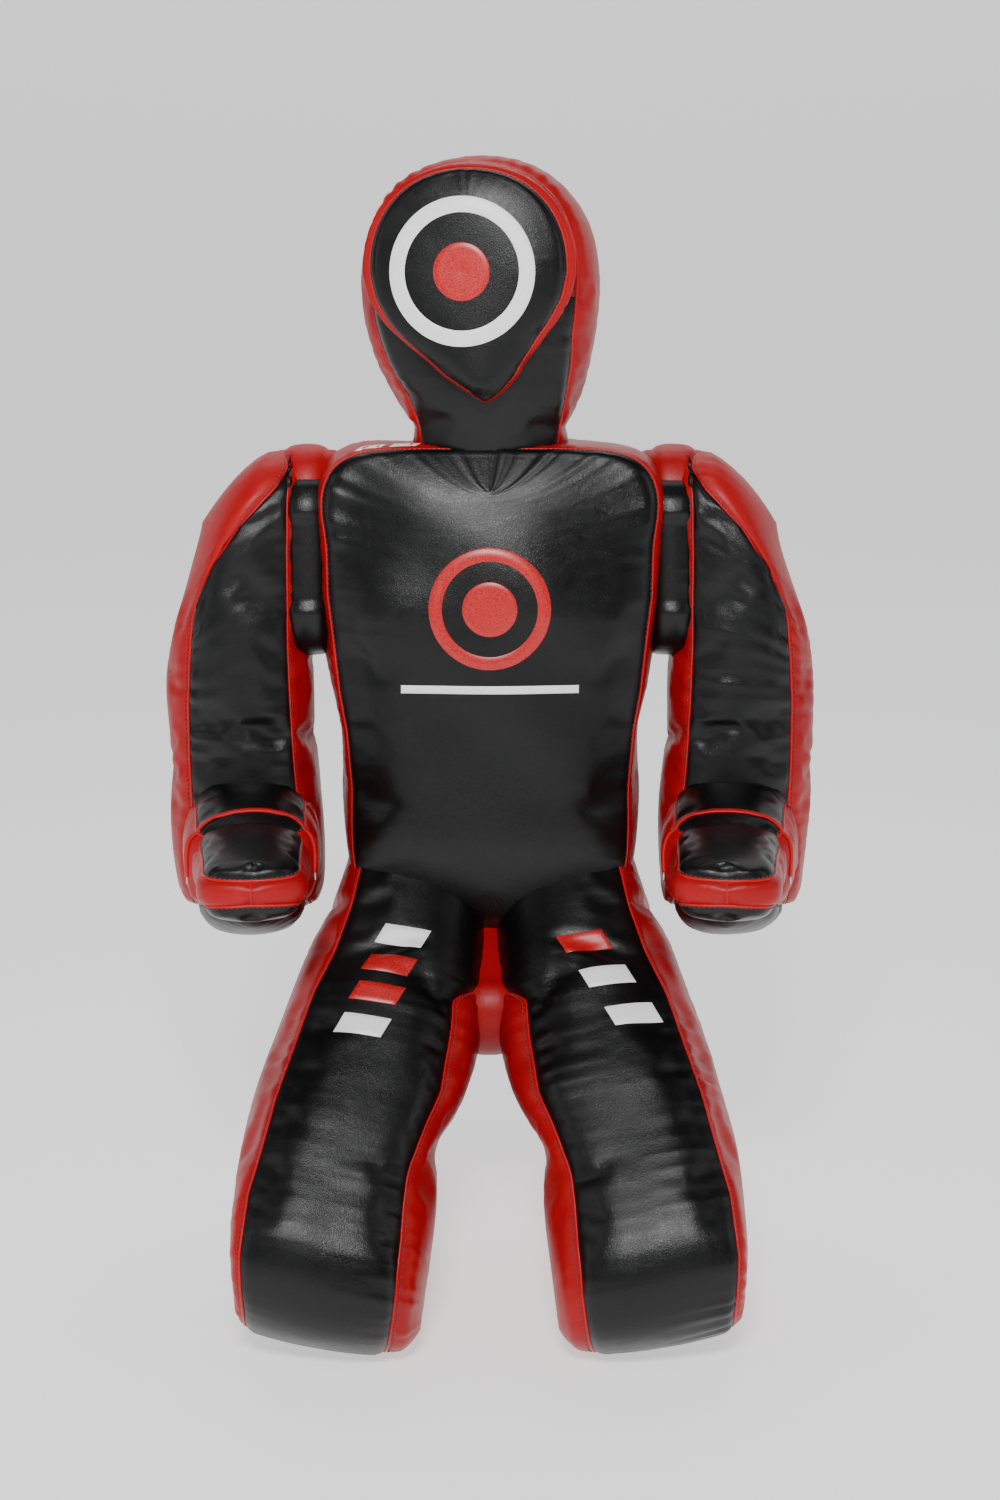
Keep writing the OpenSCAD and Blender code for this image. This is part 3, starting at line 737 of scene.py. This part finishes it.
def cover(form, side, seed, to, plates, band, names, nodes, fill=.9, times=2, post=None, label=None, **kw):
    """One stuffed length: two plates, a band and its seams. names and nodes are (plates, band)."""
    tag = "" if side == 0 else ("_left" if side > 0 else "_right")
    f = mirrored(form) if side < 0 else form
    s = Skin(f, times, seed=seed, post=post, **kw)
    finish(s.mesh(names[0] + tag, [0, 2]), plates, to, [x + tag for x in nodes[0]])
    finish(s.mesh(names[1] + tag, [1]), band, to, [x + tag for x in nodes[1]])
    edges(s, to, label=form.name + tag)
    return s


# torso
t = Skin(torso, 2, seed=11, pucker=.0017, ease=.0020, post=zip_opening)
finish(t.mesh("chest_cover", [2]), BLACK, "torso", ["chest_panel", "torso_fill"])
half = np.sign(t.g[:, t.g.shape[1] // 2, 0])[:, None] * np.ones((1, t.g.shape[1] - 1))
for side, tag in ((1, "left"), (-1, "right")):
    mask = (t.part == 0)[None, :] & (half * side > 0)
    finish(t.mesh(f"back_cover_{tag}", None, columns=mask), BLACK, "torso", [f"back_panel_{tag}"])
finish(t.mesh("torso_side_cover", [1]), RED, "torso", ["torso_side_gussets", "shoulder_gussets"])
edges(t, "torso", label="torso")

# head and face
HEAD_BEND = ("torso", "head", (0, Y0, .800), (0, Y0, .868))
h = Skin(head, 2, seed=23, pucker=.0026, ease=.0016)
ears = .985                                             # the hood's red closes over the neck's black behind the face
low = (h.g[:, h.seams[1], 2] < ears)[:, None]
front_cols = (h.part == 2)[None, :]
finish(h.mesh("neck_cover", None, columns=front_cols & low), BLACK, HEAD_BEND, ["neck_panel", "head_fill"])
finish(h.mesh("hood_cover", None, columns=~(front_cols & low)), RED, HEAD_BEND, ["hood"])
edges(h, HEAD_BEND, label="head", seams=(1,))
f = Skin(face, 2, seed=31, pucker=.0009, ease=.0009, reach=.014, wave=.018)
finish(f.mesh("face_cover", [2]), BLACK, "head", ["face_panel", "face_pad"])
finish(f.mesh("face_side_cover", [0, 1]), RED, "head", ["face_gusset"])
edges(f, "head", label="face", seams=(1,), wide=.0017, tall=.0014)

# limbs
for side, tag in ((1, "left"), (-1, "right")):
    k = 100 if side > 0 else 300
    cover(upper, side, k + 1, f"upper_arm_{tag}", RED, BLACK, ("upper_arm_gusset_cover", "upper_arm_cover"),
          (["upper_arm_gussets"], ["upper_arm_panels", "upper_arm_fill"]))
    a, b = limb_span(side, turned(0, -.030, .43), turned(0, -.080, .43))
    cover(fore, side, k + 2, (f"upper_arm_{tag}", f"forearm_{tag}", a, b), BLACK, RED,
          ("forearm_cover", "forearm_gusset_cover"),
          (["forearm_panels", "forearm_fill"], ["forearm_gussets"]))
    a, b = limb_span(side, turned(0, -.160, .443), turned(0, -.195, .445))
    cover(hand, side, k + 3, (f"forearm_{tag}", f"hand_{tag}", a, b), BLACK, RED,
          ("hand_cover", "hand_gusset_cover"), (["hand_panels", "hand_fill"], ["hand_gussets"]),
          pucker=.0014, ease=.0010, reach=.016, wave=.018)
    a, b = limb_span(side, rolled(HIP[0], .01, .42), rolled(HIP[0], -.060, .33))
    cover(thigh, side, k + 4, ("torso", f"thigh_{tag}", a, b), RED, BLACK, ("thigh_gusset_cover", "thigh_cover"),
          (["thigh_gussets"], ["thigh_panels", "thigh_fill"]), floor=True, pucker=.0026)
    a, b = (side * KNEE_X, Y0 - .245, .07), (side * KNEE_X, Y0 - .160, .075)
    cover(shin, side, k + 5, (f"thigh_{tag}", f"shin_{tag}", a, b), RED, BLACK, ("shin_gusset_cover", "shin_cover"),
          (["shin_gussets"], ["shin_panels", "shin_fill"]), floor=True)
    a, b = (side * KNEE_X, Y0 + .100, .055), (side * KNEE_X, Y0 + .150, .050)
    cover(foot, side, k + 6, (f"shin_{tag}", f"foot_{tag}", a, b), RED, BLACK, ("foot_gusset_cover", "foot_cover"),
          (["foot_gussets"], ["foot_panels", "foot_fill"]), floor=True, pucker=.0014, reach=.018)
    w = Skin(mirrored(web) if side < 0 else web, 2, seed=k + 7, pucker=.001)
    finish(w.mesh(f"underarm_cover_{tag}", [0, 1, 2]), BLACK, "torso")
    b = Skin(mirrored(bridge) if side < 0 else bridge, 2, seed=k + 8, pucker=.001)
    finish(b.mesh(f"shoulder_top_cover_{tag}", [0, 1, 2]), RED, "torso")
c = Skin(crotch, 2, seed=41, pucker=.001, ease=.0015)
finish(c.mesh("crotch_cover", [0, 1, 2]), RED, "torso", ["crotch_gusset"])


# ---------------------------------------------------------------- prints, straps and small sewing
def tree(*names):
    """A ray-cast tree over some covers."""
    v, f = [], []
    for name in names:
        me = bpy.data.objects[name].data
        at = len(v)
        v += [x.co.copy() for x in me.vertices]
        f += [tuple(i + at for i in p.vertices) for p in me.polygons]
    return BVHTree.FromPolygons(v, f)


def on_cover(bvh, origin, way, lift):
    """Where rays from origin meet a cover, lifted off it along its own face."""
    p, n, _, _ = bvh.ray_cast(Vector(origin), Vector(way))
    if p is None:
        return np.array(origin) + np.array(way) * .1, -np.array(way)
    if n.dot(Vector(way)) > 0:
        n.negate()
    return np.array(p + n * lift), np.array(n)


def film(name, bvh, rows, material, to, closed=True, lift=.0005):
    """A thin printed film over a cover. rows[i][j] are (origin, way) rays; j runs round and closes if closed."""
    pts = []
    for i, row in enumerate(rows):
        edge = i in (0, len(rows) - 1)
        line = []
        for j, (o, w) in enumerate(row):
            rim = edge or (not closed and j in (0, len(row) - 1))
            line.append(on_cover(bvh, o, w, .00008 if rim else lift)[0])
        pts.append(line)
    pts = np.array(pts)
    r, q = pts.shape[:2]
    faces = []
    for i in range(r - 1):
        for j in range(q if closed else q - 1):
            k = (j + 1) % q
            faces.append((i * q + j, i * q + k, (i + 1) * q + k, (i + 1) * q + j))
    ob = add_mesh(name, pts.reshape(-1, 3), faces)
    me = ob.data
    way = Vector(rows[0][0][1])
    if sum(p.normal.dot(way) for p in me.polygons) > 0:
        me.flip_normals()
    return finish(ob, material, to)


def ring_rows(centre, right, up, way, radii, n=96):
    out = []
    for r in radii:
        row = []
        for a in np.linspace(0, 2 * math.pi, n, endpoint=False):
            row.append((centre + right * (r * math.cos(a)) + up * (r * math.sin(a)), way))
        out.append(row)
    return out


def spread(a, b, step=.004, rim=.0007):
    """Positions from a to b with a narrow row at each end, for the film's rim."""
    n = max(2, int(round((b - a) / step)))
    return [a, a + rim] + list(np.linspace(a + rim, b - rim, n)[1:-1]) + [b - rim, b]


def bar_rows(centre, right, up, way, w, hgt, slant=0.0):
    out = []
    for y in spread(-hgt / 2, hgt / 2):
        out.append([(centre + right * (x + slant * y) + up * y, way) for x in spread(-w / 2, w / 2)])
    return out


X, Y, Z = np.eye(3)
turn = -math.radians(6)
face_right = np.array([math.cos(turn), math.sin(turn), 0.0])
face_in = np.array([-math.sin(turn), math.cos(turn), 0.0])
bvh = tree("face_cover")
mid = look(np.array(-.004), np.array(-.25), np.array(1.010))
mid = np.array(mid)
film("target_ring_print", bvh, ring_rows(mid, face_right, Z, face_in, spread(.0545, .0695)), WHITE_FILM, "head")
film("target_dot_print", bvh, ring_rows(mid, face_right, Z, face_in, [.0001] + spread(.002, .0270)[2:]),
     RED_FILM_PAINTED_SPECKLE, "head")
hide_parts("target_ring")
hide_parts("target_dot")
bvh = tree("chest_cover")
mid = np.array([0, Y0 - .3, .688])
ob = film("chest_ring_print", bvh, ring_rows(mid, X, Z, Y, spread(.047, .060)), RED_FILM_PAINTED_SPECKLE, "torso")
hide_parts("chest_print")
film("chest_dot_print", bvh, ring_rows(mid, X, Z, Y, [.0001] + spread(.002, .0270)[2:]), RED_FILM_PAINTED_SPECKLE, "torso")
film("chest_bar_print", bvh, bar_rows(mid - Z * .080, X, Z, Y, .176, .008), WHITE_FILM, "torso", closed=False)

LEAN = math.radians(42)
down = np.array([0, -math.sin(LEAN), -math.cos(LEAN)])
front = np.array([0, -math.cos(LEAN), math.sin(LEAN)])
BARS = {"right": [(.092, .000, WHITE_FILM), (.126, .008, RED_FILM_PAINTED_SPECKLE), (.160, .014, RED_FILM_PAINTED_SPECKLE), (.196, .022, WHITE_FILM)],
        "left": [(.100, .006, RED_FILM_PAINTED_SPECKLE), (.142, .022, WHITE_FILM), (.186, .040, WHITE_FILM)]}


def roll_vector(v):
    p = rolled(HIP[0] + v[0], HIP[1] + v[1], HIP[2] + v[2]) - rolled(*HIP)
    return p


for tag, bars in BARS.items():
    side = 1 if tag == "left" else -1
    flip = np.array([side, 1.0, 1.0])
    bvh = tree(f"thigh_cover_{tag}")
    a, b = limb_span(side, rolled(HIP[0], .01, .42), rolled(HIP[0], -.060, .33))
    to = ("torso", f"thigh_{tag}", a, b)
    for i, (s, q, mat) in enumerate(bars):
        c = np.array([HIP[0] + q, HIP[1], HIP[2]]) + down * s + front * .2
        c = rolled(*c) * flip
        right, up, way = (roll_vector(v) * flip for v in (X, -down, -front))
        film(f"thigh_bar_{i + 1}_{tag}", bvh, bar_rows(c, right, up, way, .046, .021, -.35), mat, to, closed=False)
# two plain stripes on the strip over the right shoulder
bvh = tree("torso_side_cover")
for i, x in enumerate((-.118, -.084)):
    c = np.array([x, Y0 - .052, 1.0])
    film(f"shoulder_stripe_{i + 1}", bvh, bar_rows(c, X, Y, -Z, .026, .010, .5), WHITE_FILM, "torso", closed=False)


def wrapped(bvh, centre, right, up, angles, lift):
    """A line over a cover, found by rays that come in towards its middle."""
    pts, nrm = [], []
    for a in angles:
        way = -(right * math.cos(a) + up * math.sin(a))
        p, n = on_cover(bvh, centre - way * .2, way, lift)
        pts.append(p)
        nrm.append(n)
    return np.array(pts), np.array(nrm)


for side, tag in ((1, "left"), (-1, "right")):
    flip = np.array([side, 1.0, 1.0])
    bvh = tree(f"forearm_cover_{tag}", f"forearm_gusset_cover_{tag}", f"hand_cover_{tag}", f"hand_gusset_cover_{tag}")
    centre = turned(0, -.140, .443) * flip
    right = (turned(1, 0, 0) - turned(0, 0, 0)) * flip
    p, n = wrapped(bvh, centre, right, Z, np.radians(np.linspace(-12, 192, 90)), 0)
    v, faces = tube(p, n, .0032, .0018, lift=.0008, closed=False, sides=10)
    a, b = limb_span(side, turned(0, -.160, .443), turned(0, -.195, .445))
    to = (f"forearm_{tag}", f"hand_{tag}", a, b)
    finish(add_mesh(f"wrist_edge_{tag}", v, faces), EDGE, to, [f"wrist_strap_{tag}"])
    v, faces = stitches(p, n, offset=.0030, closed=False)
    finish(add_mesh(f"wrist_stitches_{tag}", v, faces), RED_THREAD, to)
    # the bar tacks at the strap's two ends
    tv, tf = [], []
    for e in (2, -3):
        v, faces = stitches(np.linspace(p[e] - Z * .001, p[e] - Z * .013, 8), np.repeat(n[[e]], 8, 0),
                            pitch=.0016, length=.0040, wide=.0007, closed=False)
        tf += [tuple(i + len(tv) for i in face) for face in faces]
        tv += v.tolist()
    finish(add_mesh(f"wrist_tacks_{tag}", tv, tf), WHITE_FILM, to)
    # the seam down the middle of the fingertips
    bvh = tree(f"hand_gusset_cover_{tag}")
    pts, nrm = [], []
    for z in np.linspace(-.016, .016, 16):
        way = -(turned(0, -1, 0) - turned(0, 0, 0)) * flip
        q, m = on_cover(bvh, turned(.001, -.36, hand_mid(-.29) + z) * flip, way, 0)
        pts.append(q)
        nrm.append(m)
    v, faces = tube(pts, np.array(nrm), .0010, .0008, lift=.0002, closed=False)
    finish(add_mesh(f"fingertip_seam_{tag}", v, faces), EDGE, f"hand_{tag}")

# ---------------------------------------------------------------- carried-over zip parts
ZIP_LOOKS = {"zip_tapes": TAPE, "zip_teeth": TEETH, "zip_stops": METAL, "zip_slider": METAL, "zip_pull": METAL}
for name, mat in ZIP_LOOKS.items():
    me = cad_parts[name].data
    me.materials.clear()
    me.materials.append(mat)

# ---------------------------------------------------------------- floor, light and camera
gm = bpy.data.materials.new("studio_floor")
gm.use_nodes = True
gb = gm.node_tree.nodes["Principled BSDF"]
gb.inputs["Base Color"].default_value = (.74, .74, .74, 1)
gb.inputs["Roughness"].default_value = .9
gb.inputs["Specular IOR Level"].default_value = .1
gb.inputs["Emission Color"].default_value = (1, 1, 1, 1)
gb.inputs["Emission Strength"].default_value = .80
sweep = []
for k in range(25):
    a = math.radians(90 * k / 24)
    sweep.append((5.0 + 3.0 * math.sin(a), 3.0 * (1 - math.cos(a))))
prof = [(-9.0, 0.0), (0.0, 0.0)] + sweep + [(8.0, 12.0)]
v = [(x, y, z) for y, z in prof for x in (-14.0, 14.0)]
faces = [(2 * i, 2 * i + 1, 2 * i + 3, 2 * i + 2) for i in range(len(prof) - 1)]
floor = add_mesh("studio_sweep", v, faces)
floor.data.materials.append(gm)

world = bpy.data.worlds.new("studio")
world.use_nodes = True
world.node_tree.nodes["Background"].inputs["Color"].default_value = (1, 1, 1, 1)
world.node_tree.nodes["Background"].inputs["Strength"].default_value = .05
bpy.context.scene.world = world


def area(name, place, target, size, power):
    d = bpy.data.lights.new(name, "AREA")
    d.shape = "RECTANGLE"
    d.size, d.size_y = size
    d.energy = power
    ob = bpy.data.objects.new(name, d)
    bpy.context.scene.collection.objects.link(ob)
    ob.location = place
    ob.rotation_euler = (Vector(target) - Vector(place)).to_track_quat("-Z", "Y").to_euler()
    return ob


area("key", (-.10, Y0 - 2.3, 2.05), (0, Y0, .6), (.60, .45), 70)
area("fill_left", (-2.8, -1.2, 1.6), (0, 0, .6), (1.2, 1.8), 14)
area("fill_right", (2.8, -1.0, 1.7), (0, 0, .6), (1.2, 1.8), 14)
area("top", (0, 1.2, 3.2), (0, 0, .6), (2.4, 1.4), 30)

cam = bpy.data.cameras.new("camera")
cam.lens = 49.2
cam.sensor_width = 36
cam.sensor_fit = "AUTO"
eye = bpy.data.objects.new("camera", cam)
bpy.context.scene.collection.objects.link(eye)
eye.location = (.010, Y0 - 2.1, .950)
eye.rotation_euler = (math.radians(90 - 11.4), 0, 0)
bpy.context.scene.camera = eye
